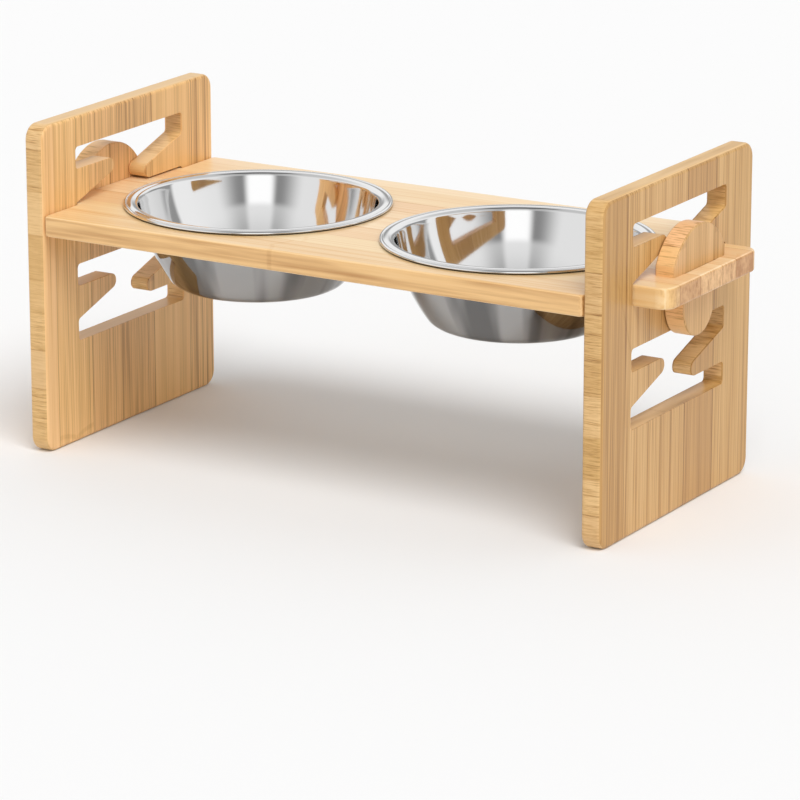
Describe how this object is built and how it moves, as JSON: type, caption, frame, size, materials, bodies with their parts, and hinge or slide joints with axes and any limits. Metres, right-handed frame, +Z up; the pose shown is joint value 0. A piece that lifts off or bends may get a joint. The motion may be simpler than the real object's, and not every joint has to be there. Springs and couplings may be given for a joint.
{
  "type": "dog feeder stand",
  "caption": "Raised bamboo dog feeder: slotted end panels carry a tongued bowl board at several heights, locked by drop-in keys, with lift-out polished steel bowls.",
  "frame": {"origin": "on the floor under the middle of the stand", "axes": "+X along the bowl board towards the right panel, +Y to the rear, +Z up"},
  "size_m": [0.4322, 0.1832, 0.2002],
  "materials": {
    "panel_bamboo": "clear-lacquered side-pressed bamboo, strips upright",
    "board_bamboo": "clear-lacquered side-pressed bamboo, strips lengthwise",
    "key_bamboo": "clear-lacquered bamboo",
    "bowl_steel": "mirror-polished stainless steel"
  },
  "bodies": {
    "stand": {"left_panel": "panel_bamboo", "right_panel": "panel_bamboo", "bowl_board": "board_bamboo"},
    "left_key": {"left_key": "key_bamboo"},
    "right_key": {"right_key": "key_bamboo"},
    "left_bowl": {"left_bowl": "bowl_steel"},
    "right_bowl": {"right_bowl": "bowl_steel"}
  },
  "joints": [
    {"name": "left_key_lift", "type": "slide", "parent": "stand", "child": "left_key", "axis": [0, 0, 1], "range_m": [0, 0.045]},
    {"name": "right_key_lift", "type": "slide", "parent": "stand", "child": "right_key", "axis": [0, 0, 1], "range_m": [0, 0.045]},
    {"name": "left_bowl_lift", "type": "slide", "parent": "stand", "child": "left_bowl", "axis": [0, 0, 1], "range_m": [0, 0.06]},
    {"name": "right_bowl_lift", "type": "slide", "parent": "stand", "child": "right_bowl", "axis": [0, 0, 1], "range_m": [0, 0.06]}
  ]
}
